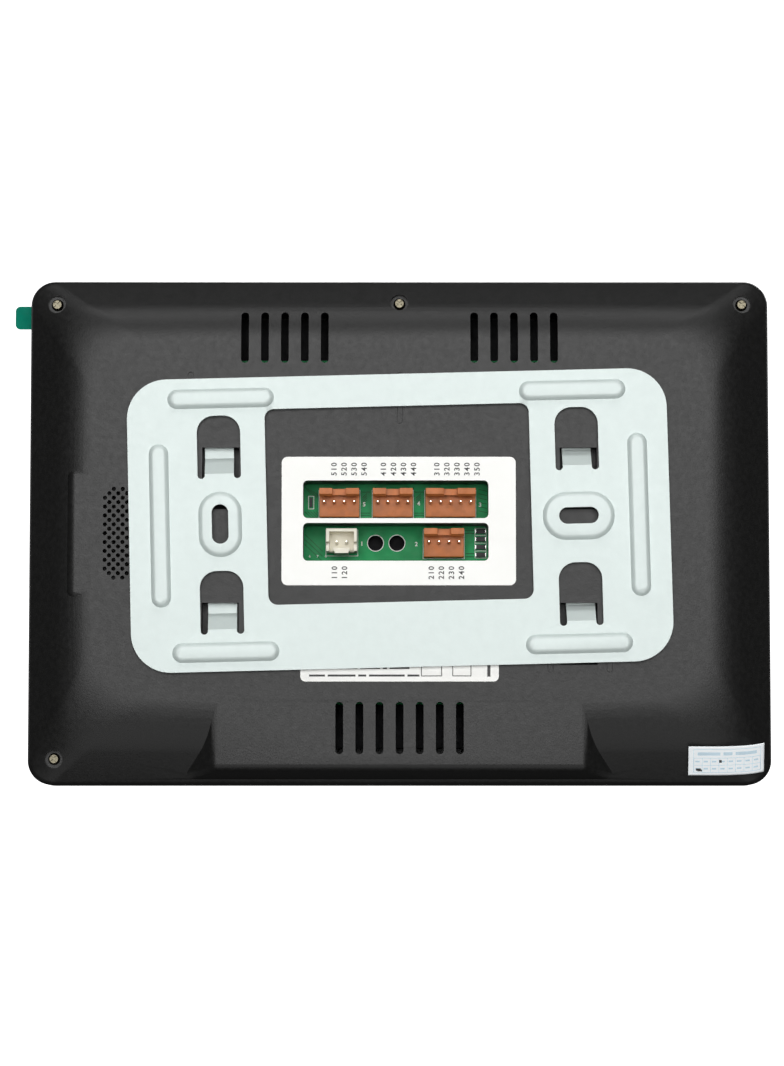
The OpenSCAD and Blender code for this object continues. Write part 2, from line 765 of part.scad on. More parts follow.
module front_frame() {
    lip_gap = wall + 0.15;
    color(housing_grey) {
        difference() {
            frame_edge();
            plate(0, body_z, body_w - 2 * wall, body_h - 2 * wall, rim_r - wall, 0, plate_y);
            plate(0, body_z, window_w + 0.3, window_h + 0.3, window_r + 0.1, plate_y + plate_t, 40);
            plate(lcd_x, body_z, view_w + 3, view_h + 3, 1.5, 0, 40);
            for (z = key_z) plate(key_x, z, key_w + 0.6, key_h + 0.6, 1.8, 0, 40);
            rod(key_x, mic_z, 0, 40, 1.4);
            rod(key_x, light_z, 0, 40, 2.1);
        }
        difference() {
            plate(0, body_z, body_w - 2 * lip_gap, body_h - 2 * lip_gap, rim_r - lip_gap,
                  parting_y - 1.8, plate_y + 0.2);
            plate(0, body_z, body_w - 2 * lip_gap - 2, body_h - 2 * lip_gap - 2,
                  rim_r - lip_gap - 1, 0, plate_y + 1);
        }
        for (p = cover_screw_places) boss(p[0], body_z + p[1], cover_well_end_y + 0.2, 5);
        for (p = chassis_screw_places) boss(p[0], p[1], chassis_y + chassis_t + eps, 5);
        for (z = key_screw_z) boss(key_x, z, key_board_y + key_board_t + eps, 4.6);
    }
}

module front_window() {
    color([0.02, 0.02, 0.025]) difference() {
        plate(0, body_z, window_w, window_h, window_r, window_y + eps, window_y + window_t);
        for (z = key_z) plate(key_x, z, key_w + 0.6, key_h + 0.6, 1.8, 0, 40);
        rod(key_x, mic_z, 0, 40, 1.4);
        rod(key_x, light_z, 0, 40, 2.1);
    }
}

// ---------------------------------------------------------------- speaker

module speaker_gasket() {
    color([0.1, 0.1, 0.1]) difference() {
        rod(speaker_x, speaker_z, inner_y + eps, speaker_face_y - eps, speaker_d);
        rod(speaker_x, speaker_z, 0, 30, 24.4);
    }
}

module speaker_basket() {
    color([0.25, 0.25, 0.27]) difference() {
        translate([speaker_x, speaker_face_y, speaker_z]) rotate([-90, 0, 0]) rotate_extrude()
            polygon([[12.2, 0], [13.8, 0], [13.8, 1.4], [12.8, 1.6], [9.4, 5], [9.4, 5.8],
                     [6.8, 5.8], [6.8, 5], [8.6, 4.6], [12, 1.4]]);
        for (a = [0 : 60 : 300]) translate([speaker_x, speaker_face_y + 3, speaker_z])
            rotate([0, a, 0]) translate([9, -1, -1.6]) cube([4, 2, 3.2]);
    }
}

module speaker_magnet() {
    color([0.6, 0.6, 0.62]) rod(speaker_x, speaker_z, speaker_face_y + 5.82, speaker_face_y + 8.6, 17);
}

module speaker_cone() {
    color([0.12, 0.11, 0.1]) translate([speaker_x, speaker_face_y, speaker_z])
        rotate([-90, 0, 0]) rotate_extrude()
            polygon([[0, 2.2], [3, 2.9], [5, 3.6], [9.6, 1.6], [10.3, 0.9], [11.2, 0.6],
                     [11.8, 0.9], [11.8, 1.1], [11.2, 0.85], [10.4, 1.15], [9.7, 1.9],
                     [5, 4], [2.9, 3.2], [0, 2.5]]);
}

module speaker_screws() {
    color(screw_grey) for (p = speaker_screw_places)
        front_screw(p[0], p[1], speaker_seat_y, inner_y + eps);
}

// ---------------------------------------------------------------- key board

module key_board() {
    color(board_green) difference() {
        plate(key_x, body_z - 3, 13, 103, 1, key_board_y, key_board_y + key_board_t);
        for (z = key_screw_z) rod(key_x, z, 0, 30, 2.2);
    }
}

module key_board_screws() {
    color(screw_grey) for (z = key_screw_z)
        pan_screw(key_x, z, key_board_y - eps, plate_y - 1.5);
}

module switch_bodies() {
    y0 = key_board_y + key_board_t + eps;
    color(chip_black) for (z = key_z) difference() {
        plate(key_x, z, switch_size, switch_size, 0.4, y0, switch_top_y);
        rod(key_x, z, switch_top_y - 0.75 - key_travel, 30, stem_d + 0.12);
    }
}

module stem(z) {
    color([0.15, 0.15, 0.16]) rod(key_x, z, switch_top_y - 0.6, switch_top_y + 0.5, stem_d);
}

module key(z) {
    y0 = switch_top_y + 0.52;
    edge = 0.5;
    color([0.3, 0.3, 0.32]) {
        plate(key_x, z, key_w + 2, key_h + 2, 2, y0, y0 + 0.7);
        hull() {
            plate(key_x, z, key_w, key_h, 1.5, y0 + 0.6, key_front_y - edge);
            plate(key_x, z, key_w - 2 * edge, key_h - 2 * edge, 1.1, y0 + 0.6, key_front_y);
        }
    }
}

module microphone() {
    y0 = key_board_y + key_board_t + eps;
    color(screw_grey) rod(key_x, mic_z, y0, y0 + 2.7, 6);
}

module microphone_boot() {
    y0 = key_board_y + key_board_t + eps;
    color(chip_black) difference() {
        rod(key_x, mic_z, y0, plate_y - eps, 8);
        rod(key_x, mic_z, y0 - 1, y0 + 2.74, 6.06);
        rod(key_x, mic_z, 0, 30, 1.4);
    }
}

module status_led() {
    chip_y = key_board_y + key_board_t + eps;
    color([0.9, 0.9, 0.8]) block(key_x - 1, key_x + 1, chip_y, chip_y + 0.9, light_z - 0.6, light_z + 0.6);
}

module light_pipe() {
    y0 = key_board_y + key_board_t + 1;
    color([0.9, 0.95, 1, 0.5]) {
        rod(key_x, light_z, y0, window_y + window_t, 2);
        rod(key_x, light_z, y0 + 1, plate_y - 0.3, 3.6);
    }
}

// ---------------------------------------------------------------- selection

wall_bracket();
rear_cover();
cover_screws();
terminal_label();
rating_label();
seal_sticker();
main_board();
header_p1();
large_header(large_headers[0]);  // header_p2
large_header(large_headers[1]);  // header_p3
large_header(large_headers[2]);  // header_p4
large_header(large_headers[3]);  // header_p5
header_pins();
protection_diodes();
chip(42, 20, 14, 14, 1.4);  // processor_chip
chip(2, 26, 10, 10, 1.2);  // video_chip
chip(28, 12, 8, 11, 1.1);  // memory_chip
chip(-22, -26, 5, 6, 1.2);  // amplifier_chip
capacitors();
chip(26, -26, 8, 8, 4, [0.2, 0.2, 0.22]);  // power_inductor
crystal();
display_connector();
display_ribbon();
key_connector();
key_ribbon();
board_screws();
board_standoffs();
insulator_sheet();
chassis_plate();
chassis_screws();
lcd_backlight();
lcd_panel();
front_frame();
front_window();
screen_film();
film_pull_tab();
speaker_basket();
speaker_magnet();
speaker_cone();
speaker_gasket();
speaker_screws();
key_board();
key_board_screws();
switch_bodies();
microphone();
microphone_boot();
status_led();
light_pipe();
key(key_z[0]);  // key_1
key(key_z[1]);  // key_2
key(key_z[2]);  // key_3
key(key_z[3]);  // key_4
key(key_z[4]);  // key_5
stem(key_z[0]);  // stem_1
stem(key_z[1]);  // stem_2
stem(key_z[2]);  // stem_3
stem(key_z[3]);  // stem_4
stem(key_z[4]);  // stem_5
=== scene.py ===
"""Looks for the video intercom monitor on its wall bracket.

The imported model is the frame. This script gives every sub-part its material and adds what is too
fine for the CAD model: printing, solder marks, silk screen and the curl of the paper seal.
All sizes are in metres, in the model's frame: +Z up, +Y from the wall into the room.
"""

import json
import math

import bmesh
import bpy
from mathutils import Matrix, Vector


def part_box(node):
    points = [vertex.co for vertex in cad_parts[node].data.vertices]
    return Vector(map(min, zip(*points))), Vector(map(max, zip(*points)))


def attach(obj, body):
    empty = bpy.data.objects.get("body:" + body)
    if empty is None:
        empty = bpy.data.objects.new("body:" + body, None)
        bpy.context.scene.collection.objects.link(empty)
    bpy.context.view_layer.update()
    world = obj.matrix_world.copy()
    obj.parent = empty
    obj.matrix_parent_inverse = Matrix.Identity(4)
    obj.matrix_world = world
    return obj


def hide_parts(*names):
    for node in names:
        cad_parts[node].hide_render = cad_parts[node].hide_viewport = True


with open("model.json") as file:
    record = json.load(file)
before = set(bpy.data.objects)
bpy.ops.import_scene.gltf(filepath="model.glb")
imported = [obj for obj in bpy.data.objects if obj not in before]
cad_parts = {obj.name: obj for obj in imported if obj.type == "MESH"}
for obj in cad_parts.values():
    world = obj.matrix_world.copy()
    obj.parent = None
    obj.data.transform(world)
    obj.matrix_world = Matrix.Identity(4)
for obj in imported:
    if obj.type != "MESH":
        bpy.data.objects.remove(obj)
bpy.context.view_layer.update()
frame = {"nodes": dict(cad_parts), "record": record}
NODES = frame["nodes"]
MM = 0.001
INK = 0.00003            # how far printing stands out of its face
THIN_INK = 0.00002


# ------------------------------------------------------------------ camera, light and stage

CAMERA_DISTANCE = 0.95
CAMERA_ELEVATION = math.radians(-5)
VIEW_HEIGHT = 0.2686
AIM = Vector((-0.0019, 0.0, -0.0034))


def make_camera():
    data = bpy.data.cameras.new("camera")
    data.lens = data.sensor_width * CAMERA_DISTANCE / VIEW_HEIGHT
    data.clip_start = 0.05
    camera = bpy.data.objects.new("camera", data)
    bpy.context.scene.collection.objects.link(camera)
    back = Vector((0, -math.cos(CAMERA_ELEVATION), math.sin(CAMERA_ELEVATION)))
    camera.location = AIM + back * CAMERA_DISTANCE
    camera.rotation_euler = (-back).to_track_quat("-Z", "Y").to_euler()
    bpy.context.scene.camera = camera


def area_light(name, place, target, size, watts):
    data = bpy.data.lights.new(name, "AREA")
    data.shape = "RECTANGLE"
    data.size, data.size_y = size
    data.energy = watts
    light = bpy.data.objects.new(name, data)
    bpy.context.scene.collection.objects.link(light)
    light.location = place
    light.rotation_euler = (Vector(target) - Vector(place)).to_track_quat("-Z", "Y").to_euler()


def make_lights():
    middle = (0, 0.01, 0)
    area_light("front_light", (0.0, -1.5, 0.32), middle, (1.4, 0.9), 18.5)
    area_light("upper_light", (0, -0.5, 1.0), middle, (0.9, 0.4), 4)
    area_light("lower_light", (0, -0.95, -0.95), middle, (1.6, 1.1), 5)
    area_light("room_light", (0.5, 1.5, 0.9), middle, (1.4, 1.0), 22)
    area_light("left_light", (-1.4, 1.2, 0.4), middle, (0.5, 1.0), 1.5)
    area_light("right_light", (1.4, 1.2, 0.4), middle, (0.5, 1.0), 1.5)
    world = bpy.data.worlds.new("world")
    world.use_nodes = True
    background = world.node_tree.nodes["Background"]
    background.inputs["Color"].default_value = (1, 1, 1, 1)
    background.inputs["Strength"].default_value = 0.03
    bpy.context.scene.world = world
    bpy.context.scene.view_settings.view_transform = "Standard"


def make_stage():
    """A pale floor far below the monitor that curves up into a wall all round it."""
    floor, bend, reach, top = -1.1, 0.5, 2.6, 2.6
    steps, bend_steps = 64, 8
    profile = [(0.001, floor)]
    for i in range(bend_steps + 1):
        a = math.radians(90 * i / bend_steps)
        profile.append((reach - bend + bend * math.sin(a), floor + bend * (1 - math.cos(a))))
    profile.append((reach, top))
    points = [(r * math.cos(2 * math.pi * k / steps), r * math.sin(2 * math.pi * k / steps), z)
              for r, z in profile for k in range(steps)]
    faces = [(i * steps + k, i * steps + (k + 1) % steps, (i + 1) * steps + (k + 1) % steps,
              (i + 1) * steps + k) for i in range(len(profile) - 1) for k in range(steps)]
    mesh = bpy.data.meshes.new("sweep")
    mesh.from_pydata(points, [], faces)
    sweep = bpy.data.objects.new("sweep", mesh)
    bpy.context.scene.collection.objects.link(sweep)
    for polygon in mesh.polygons:
        polygon.use_smooth = True
    look = Look("sweep_white", (0.95, 0.95, 0.95), roughness=0.9)
    look.shader.inputs["Emission Color"].default_value = (1, 1, 1, 1)
    look.shader.inputs["Emission Strength"].default_value = 1.2
    mesh.materials.append(look.material)
    sweep.visible_diffuse = False
    sweep.visible_glossy = False
    sweep.visible_shadow = False


# ------------------------------------------------------------------ materials

class Look:
    """A Principled material with helpers that add procedural variation and painted edge highlights
    to it.
    """

    def __init__(self, name, color, roughness=0.5, metallic=0.0, coat=0.0):
        self.material = bpy.data.materials.new(name)
        self.material.use_nodes = True
        self.tree = self.material.node_tree
        self.shader = self.tree.nodes["Principled BSDF"]
        self.color = (*color, 1)
        self.shader.inputs["Base Color"].default_value = self.color
        self.shader.inputs["Roughness"].default_value = roughness
        self.shader.inputs["Metallic"].default_value = metallic
        self.shader.inputs["Coat Weight"].default_value = coat
        self.space = self.node("ShaderNodeTexCoord").outputs["Object"]
        self.normal = None

    def node(self, kind, **settings):
        made = self.tree.nodes.new(kind)
        for key, value in settings.items():
            setattr(made, key, value)
        return made

    def link(self, a, b):
        self.tree.links.new(a, b)

    def noise(self, size, detail=2.0, stretch=(1, 1, 1)):
        """Noise whose lumps are about `size` metres across."""
        mapping = self.node("ShaderNodeMapping")
        mapping.inputs["Scale"].default_value = tuple(s / size for s in stretch)
        self.link(self.space, mapping.inputs["Vector"])
        texture = self.node("ShaderNodeTexNoise")
        texture.inputs["Scale"].default_value = 1.0
        texture.inputs["Detail"].default_value = detail
        self.link(mapping.outputs["Vector"], texture.inputs["Vector"])
        return texture.outputs["Fac"]

    def ramp(self, source, low, high, low_at=0.35, high_at=0.65):
        ramp = self.node("ShaderNodeValToRGB")
        ends = ramp.color_ramp.elements
        ends[0].position, ends[1].position = low_at, high_at
        ends[0].color, ends[1].color = low, high
        self.link(source, ramp.inputs["Fac"])
        return ramp.outputs["Color"]

    def vary_color(self, size, amount, detail=3.0):
        dark = (*(c * (1 - amount) for c in self.color[:3]), 1)
        light = (*(min(1, c * (1 + amount)) for c in self.color[:3]), 1)
        self.link(self.ramp(self.noise(size, detail), dark, light),
                  self.shader.inputs["Base Color"])

    def vary_roughness(self, size, low, high, detail=3.0, stretch=(1, 1, 1)):
        spread = self.node("ShaderNodeMapRange")
        spread.inputs["From Min"].default_value = 0.3
        spread.inputs["From Max"].default_value = 0.7
        spread.inputs["To Min"].default_value = low
        spread.inputs["To Max"].default_value = high
        self.link(self.noise(size, detail, stretch), spread.inputs["Value"])
        self.link(spread.outputs["Result"], self.shader.inputs["Roughness"])

    def bump(self, size, height, detail=2.0, stretch=(1, 1, 1), strength=1.0):
        """Relief `height` metres deep with lumps of `size` metres."""
        bump = self.node("ShaderNodeBump")
        bump.inputs["Strength"].default_value = strength
        bump.inputs["Distance"].default_value = height
        self.link(self.noise(size, detail, stretch), bump.inputs["Height"])
        if self.normal is not None:
            self.link(self.normal, bump.inputs["Normal"])
        self.normal = bump.outputs["Normal"]
        self.link(self.normal, self.shader.inputs["Normal"])
        return self

    def wear(self, color, radius, amount=0.6):
        """Paints a highlight on the edges: a lighter colour within `radius` metres of them."""
        bevel = self.node("ShaderNodeBevel", samples=4)
        bevel.inputs["Radius"].default_value = radius
        geometry = self.node("ShaderNodeNewGeometry")
        dot = self.node("ShaderNodeVectorMath", operation="DOT_PRODUCT")
        self.link(bevel.outputs["Normal"], dot.inputs[0])
        self.link(geometry.outputs["Normal"], dot.inputs[1])
        edge = self.node("ShaderNodeMapRange")
        edge.inputs["From Min"].default_value = 1.0
        edge.inputs["From Max"].default_value = 0.75
        edge.inputs["To Max"].default_value = amount
        self.link(dot.outputs["Value"], edge.inputs["Value"])
        mix = self.node("ShaderNodeMix", data_type="RGBA")
        socket = self.shader.inputs["Base Color"]
        if socket.is_linked:
            self.link(socket.links[0].from_socket, mix.inputs["A"])
        else:
            mix.inputs["A"].default_value = self.color
        mix.inputs["B"].default_value = (*color, 1)
        self.link(edge.outputs["Result"], mix.inputs["Factor"])
        self.link(mix.outputs["Result"], socket)
        return self


def housing_plastic():
    look = Look("housing_plastic", (0.0105, 0.0105, 0.0103), roughness=0.42)
    look.shader.inputs["Specular IOR Level"].default_value = 0.38
    look.vary_color(0.0012, 0.14)
    look.vary_roughness(0.0012, 0.38, 0.46)
    look.bump(0.0005, 0.00003, detail=1.5)
    # painted highlight: a lighter colour along the housing's edges
    look.wear((0.05, 0.05, 0.05), 0.0003, 0.5)
    return look.material


def bracket_steel():
    look = Look("bracket_steel", (0.625, 0.70, 0.68), roughness=0.4, metallic=0.12)
    look.vary_color(0.002, 0.012)
    look.vary_roughness(0.0015, 0.39, 0.45)
    look.bump(0.0007, 0.000012)
    # painted highlight: a lighter colour along the bracket's edges
    look.wear((0.90, 0.94, 0.94), 0.0003, 0.4)
    return look.material


def metal(name, color, roughness, grain=0.0004, stretch=(1, 1, 1)):
    look = Look(name, color, roughness=roughness, metallic=1.0)
    look.vary_color(0.002, 0.06)
    look.vary_roughness(grain, roughness * 0.75, roughness * 1.3, stretch=stretch)
    look.bump(grain, 0.000004, stretch=stretch)
    return look.material


def plastic(name, color, roughness=0.45, mottle=0.06, coat=0.0, grain=0.0003, gloss=0.5):
    look = Look(name, color, roughness=roughness, coat=coat)
    look.shader.inputs["Specular IOR Level"].default_value = gloss
    look.vary_color(0.0025, mottle)
    look.vary_roughness(0.002, roughness * 0.85, roughness * 1.2)
    look.bump(grain, 0.000006)
    # painted highlight: a lighter shade of the colour along the edges
    look.wear(tuple(min(1, c * 1.6 + 0.02) for c in color), 0.00015, 0.5)
    return look.material


def paper(name, color, roughness=0.6):
    look = Look(name, color, roughness=roughness)
    look.vary_color(0.006, 0.015)
    look.vary_roughness(0.001, roughness * 0.9, roughness * 1.1)
    look.bump(0.0003, 0.000006, detail=4)
    return look.material


def board_green():
    look = Look("board_laminate", (0.009, 0.30, 0.09), roughness=0.45)
    look.shader.inputs["Specular IOR Level"].default_value = 0.2
    look.vary_color(0.006, 0.15)
    look.vary_roughness(0.002, 0.4, 0.55)
    look.bump(0.0006, 0.00001)
    return look.material


def clear(name, color, roughness, alpha):
    look = Look(name, color, roughness=roughness)
    look.vary_roughness(0.01, roughness * 0.7, roughness * 1.5)
    look.bump(0.004, 0.00002)
    look.shader.inputs["Alpha"].default_value = alpha
    return look.material


def build_materials():
    return {
        "bracket_steel": bracket_steel(),
        "housing_plastic": housing_plastic(),
        "screw_nickel": metal("screw_nickel", (0.13, 0.118, 0.085), 0.34),
        "label_paper": paper("label_paper", (0.99, 0.99, 0.955), 0.5),
        "seal_paper": paper("seal_paper", (0.86, 0.90, 0.92), 0.65),
        "board_laminate": board_green(),
        "header_brown": plastic("header_brown", (0.58, 0.18, 0.048), 0.42, 0.12, gloss=0.3),
        "header_white": plastic("header_white", (0.88, 0.84, 0.70), 0.4, 0.04),
        "pin_tin": metal("pin_tin", (0.86, 0.85, 0.82), 0.2),
        "chip_black": plastic("chip_black", (0.02, 0.02, 0.022), 0.55, 0.1),
        "can_sleeve": metal("can_sleeve", (0.5, 0.52, 0.56), 0.3),
        "connector_ivory": plastic("connector_ivory", (0.76, 0.71, 0.56), 0.45),
        "flex_amber": plastic("flex_amber", (0.55, 0.25, 0.04), 0.3, coat=0.4),
        "ribbon_white": plastic("ribbon_white", (0.78, 0.79, 0.79), 0.5),
        "brass": metal("brass", (0.78, 0.58, 0.26), 0.28),
        # black insulating film behind the board; it is partly real and partly painted shade, a dark
        # sheet that darkens what shows through the vents and board holes
        "film_black": plastic("film_black", (0.009, 0.009, 0.010), 0.7, gloss=0.15),
        "zinc_steel": metal("zinc_steel", (0.62, 0.64, 0.66), 0.35, stretch=(1, 1, 12)),
        "display_glass": plastic("display_glass", (0.008, 0.008, 0.012), 0.12, coat=0.8),
        "panel_black": plastic("panel_black", (0.006, 0.006, 0.007), 0.08, coat=1.0, grain=0.02),
        "clear_film": clear("clear_film", (0.6, 0.7, 0.75), 0.12, 0.035),
        "tab_green": plastic("tab_green", (0.0, 0.2, 0.13), 0.5, gloss=0.05),
        "speaker_steel": plastic("speaker_steel", (0.03, 0.03, 0.032), 0.4),
        "cone_paper": paper("cone_paper", (0.035, 0.033, 0.03), 0.8),
        "rubber_black": plastic("rubber_black", (0.015, 0.015, 0.015), 0.75),
        "key_plastic": plastic("key_plastic", (0.045, 0.045, 0.048), 0.35, coat=0.2),
        "light_clear": clear("light_clear", (0.9, 0.95, 1.0), 0.1, 0.5),
    }


def dress_nodes(materials):
    for part in frame["record"]["subparts"]:
        node = NODES[part["node"]]
        node.data.materials.clear()
        node.data.materials.append(materials[part["material_slot"]])


# ------------------------------------------------------------------ small pieces

def add_piece(name, mesh_or_curve, material, body="monitor"):
    piece = bpy.data.objects.new(name, mesh_or_curve)
    bpy.context.scene.collection.objects.link(piece)
    mesh_or_curve.materials.append(material)
    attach(piece, body)
    return piece


def strokes_mesh(name, matrices):
    """One mesh of unit cubes, each placed and sized by its own matrix."""
    mesh = bpy.data.meshes.new(name)
    work = bmesh.new()
    for matrix in matrices:
        bmesh.ops.create_cube(work, size=1, matrix=matrix)
    work.to_mesh(mesh)
    work.free()
    return mesh


def strips_mesh(name, boxes):
    """One mesh of thin boxes, each (x0, x1, y0, y1, z0, z1)."""
    return strokes_mesh(name, [
        Matrix.Translation(((x0 + x1) / 2, (y0 + y1) / 2, (z0 + z1) / 2))
        @ Matrix.Diagonal((x1 - x0, y1 - y0, z1 - z0, 1)) for x0, x1, y0, y1, z0, z1 in boxes])


def line_box(start, end, width, y):
    """A printed stroke between two (x, z) points on a face that looks along -Y."""
    (x0, z0), (x1, z1) = start, end
    length = math.hypot(x1 - x0, z1 - z0)
    turn = Matrix.Rotation(-math.atan2(z1 - z0, x1 - x0), 4, "Y")
    place = Matrix.Translation(((x0 + x1) / 2, y - THIN_INK / 2, (z0 + z1) / 2))
    return place @ turn @ Matrix.Diagonal((length, THIN_INK, width, 1))


def outline(x0, x1, z0, z1, y, width):
    """The four strips of a rectangular printed outline on a face that looks along -Y."""
    back = y - INK
    return [(x0, x1, back, y, z0, z0 + width), (x0, x1, back, y, z1 - width, z1),
            (x0, x0 + width, back, y, z0 + width, z1 - width),
            (x1 - width, x1, back, y, z0 + width, z1 - width)]


def digits(name, text, place, size, ink, turn=0.0):
    """Numerals printed on a face that looks along -Y, turned by `turn` degrees in it."""
    curve = bpy.data.curves.new(name, "FONT")
    curve.body = text
    curve.size = size
    curve.extrude = 0.00001
    curve.offset = size * 0.02
    curve.align_x = "CENTER"
    curve.align_y = "CENTER"
    curve.space_character = 1.25
    piece = add_piece(name, curve, ink)
    piece.location = place
    piece.rotation_euler = (math.radians(90), math.radians(turn), 0)


# ------------------------------------------------------------------ smooth shading of CAD nodes

def smoothing_group(angle):
    """Geometry nodes that smooth every edge flatter than `angle` and keep the others crisp."""
    group = bpy.data.node_groups.new("smooth_by_angle", "GeometryNodeTree")
    group.interface.new_socket("Geometry", in_out="INPUT", socket_type="NodeSocketGeometry")
    group.interface.new_socket("Geometry", in_out="OUTPUT", socket_type="NodeSocketGeometry")
    start = group.nodes.new("NodeGroupInput")
    end = group.nodes.new("NodeGroupOutput")
    strip = group.nodes.new("GeometryNodeRemoveAttribute")
    strip.inputs["Name"].default_value = "custom_normal"
    faces = group.nodes.new("GeometryNodeSetShadeSmooth")
    faces.domain = "FACE"
    edges = group.nodes.new("GeometryNodeSetShadeSmooth")
    edges.domain = "EDGE"
    edge_angle = group.nodes.new("GeometryNodeInputMeshEdgeAngle")
    compare = group.nodes.new("FunctionNodeCompare")
    compare.data_type = "FLOAT"
    compare.operation = "LESS_THAN"
    compare.inputs["B"].default_value = angle
    faces.inputs["Shade Smooth"].default_value = True
    links = group.links
    links.new(start.outputs["Geometry"], strip.inputs["Geometry"])
    links.new(strip.outputs["Geometry"], faces.inputs["Geometry"])
    links.new(faces.outputs["Geometry"], edges.inputs["Geometry"])
    links.new(edge_angle.outputs["Unsigned Angle"], compare.inputs["A"])
    links.new(compare.outputs["Result"], edges.inputs["Shade Smooth"])
    links.new(edges.outputs["Geometry"], end.inputs["Geometry"])
    return group


# width of the rounding on crisp edges, in millimetres
EDGE_ROUNDING = {
    "wall_bracket": 0.2, "front_frame": 0.15, "front_window": 0.2,
    "header_p1": 0.1, "header_p2": 0.12, "header_p3": 0.12, "header_p4": 0.12,
    "header_p5": 0.12, "processor_chip": 0.1, "power_inductor": 0.4, "capacitors": 0.3,
    "speaker_magnet": 0.3, "crystal": 0.3, "switch_bodies": 0.1,
}


def finish_surfaces():
    group = smoothing_group(math.radians(32))
    for name, node in NODES.items():
        weld = node.modifiers.new("weld", "WELD")
        weld.merge_threshold = 0.000001
        if name in EDGE_ROUNDING:
            bevel = node.modifiers.new("bevel", "BEVEL")
            bevel.width = EDGE_ROUNDING[name] * MM
            bevel.segments = 2
            bevel.limit_method = "ANGLE"
            bevel.angle_limit = math.radians(50)
            bevel.use_clamp_overlap = True
        smooth = node.modifiers.new("smooth", "NODES")
        smooth.node_group = group
        weigh = node.modifiers.new("weigh", "WEIGHTED_NORMAL")
        weigh.mode = "FACE_AREA"
        weigh.weight = 90
        weigh.keep_sharp = True


# ------------------------------------------------------------------ printing on the labels

# pins in each header
HEADERS = {"header_p5": 4, "header_p4": 4, "header_p3": 5, "header_p1": 2, "header_p2": 4}
PIN_PITCH = 2.54 * MM
# how far the numbers stand to the right of the pins, by port, in millimetres
LABEL_SHIFT = {5: 2.6, 4: 1.5, 3: 1.6, 1: -0.4, 2: 0.6}


def pin_columns(header):
    low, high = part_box(header)
    count = HEADERS[header]
    middle = (low.x + high.x) / 2
    return [middle + (i - (count - 1) / 2) * PIN_PITCH for i in range(count)]


def print_terminal_label(ink):
    """A generic number beside each pin, turned to read upwards as on such labels."""
    low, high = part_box("terminal_label")
    margin = 3.15 * MM
    for header in HEADERS:
        port = int(header[-1])
        upper = port in (3, 4, 5)
        z = high.z - margin if upper else low.z + margin
        for i, x in enumerate(pin_columns(header)):
            digits(f"terminal_number_{port}_{i + 1}", f"{port}{i + 1}0",
                   (x + LABEL_SHIFT[port] * MM, low.y - 0.00001, z), 1.9 * MM, ink,
                   turn=-90)


def print_rating_label(ink):
    """Two rows of bars, two boxes and an upright bar in place of the printed text."""
    low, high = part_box("rating_label")
    y = low.y
    lines = []
    for row, (left, widths) in enumerate([(2.2, (4, 7, 2, 9, 3)), (2.0, (2, 6, 3, 5, 1, 5))]):
        x = low.x + left * MM
        z = low.z + (1.5 + 1.9 * row) * MM
        for width in widths:
            lines.append(line_box((x, z), (x + width * MM, z), 0.5 * MM, y))
            x += (width + 0.7) * MM
    for x0, x1 in ((30.5, 35.6), (38.4, 43.0)):
        left, right = low.x + x0 * MM, low.x + x1 * MM
        bottom, top = low.z + 1.4 * MM, low.z + 4.6 * MM
        for a, b in (((left, bottom), (right, bottom)), ((left, top), (right, top)),
                     ((left, bottom), (left, top)), ((right, bottom), (right, top))):
            lines.append(line_box(a, b, 0.22 * MM, y))
    x = low.x + 47.5 * MM
    lines.append(line_box((x, low.z + 1.2 * MM), (x, low.z + 4.8 * MM), 0.8 * MM, y))
    add_piece("rating_label_print", strokes_mesh("rating_label_print", lines), ink)


# ------------------------------------------------------------------ board details

def rings_mesh(name, centres, inner, outer, y, steps=40):
    """One mesh of flat printed rings round (x, z) centres."""
    mesh = bpy.data.meshes.new(name)
    points, faces = [], []
    for x, z in centres:
        base = len(points)
        for i in range(steps):
            a = 2 * math.pi * i / steps
            for radius in (inner, outer):
                points.append((x + radius * math.cos(a), y, z + radius * math.sin(a)))
        for i in range(steps):
            j = (i + 1) % steps
            faces.append((base + 2 * i, base + 2 * i + 1, base + 2 * j + 1, base + 2 * j))
    mesh.from_pydata(points, [], faces)
    return mesh


BOARD_HOLES = [(-6.1 * MM, -4.9 * MM), (-0.65 * MM, -4.9 * MM)]
# x and z of each port's number, in millimetres
PORT_NUMBERS = {5: (-9.0, 5.0), 4: (4.9, 5.2), 3: (20.6, 4.9), 1: (-9.6, -5.1), 2: (4.3, -5.2)}
DIODE_PITCH = 2.0 * MM


def print_board(y, silk):
    """White silk screen: outlines of the parts, rings round the holes and numerals."""
    outlines = []
    for header in HEADERS:
        low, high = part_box(header)
        gap = 0.25 * MM
        outlines += outline(low.x - gap, high.x + gap, low.z - gap, high.z + gap, y, 0.15 * MM)
    low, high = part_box("protection_diodes")
    gap = 0.3 * MM
    outlines += outline(low.x - gap, high.x + gap, low.z - gap, high.z + gap, y, 0.14 * MM)
    for i in range(3):
        z = high.z - 1.6 * MM - DIODE_PITCH * i
        outlines.append((low.x - gap, high.x + gap, y - INK, y, z - 0.07 * MM, z + 0.07 * MM))
    add_piece("board_outlines", strips_mesh("board_outlines", outlines), silk)

    add_piece("board_hole_rings", rings_mesh("board_hole_rings", BOARD_HOLES, 1.98 * MM,
                                             2.16 * MM, y - INK), silk)
    for port, (x, z) in PORT_NUMBERS.items():
        digits(f"port_number_{port}", str(port), (x * MM, y - THIN_INK, z * MM), 1.5 * MM, silk)
    for i, x in enumerate((-22.9, -20.9, -18.8)):
        digits(f"mark_number_{i + 1}", str(i + 6), (x * MM, y - THIN_INK, -8.3 * MM), 0.9 * MM,
               silk)


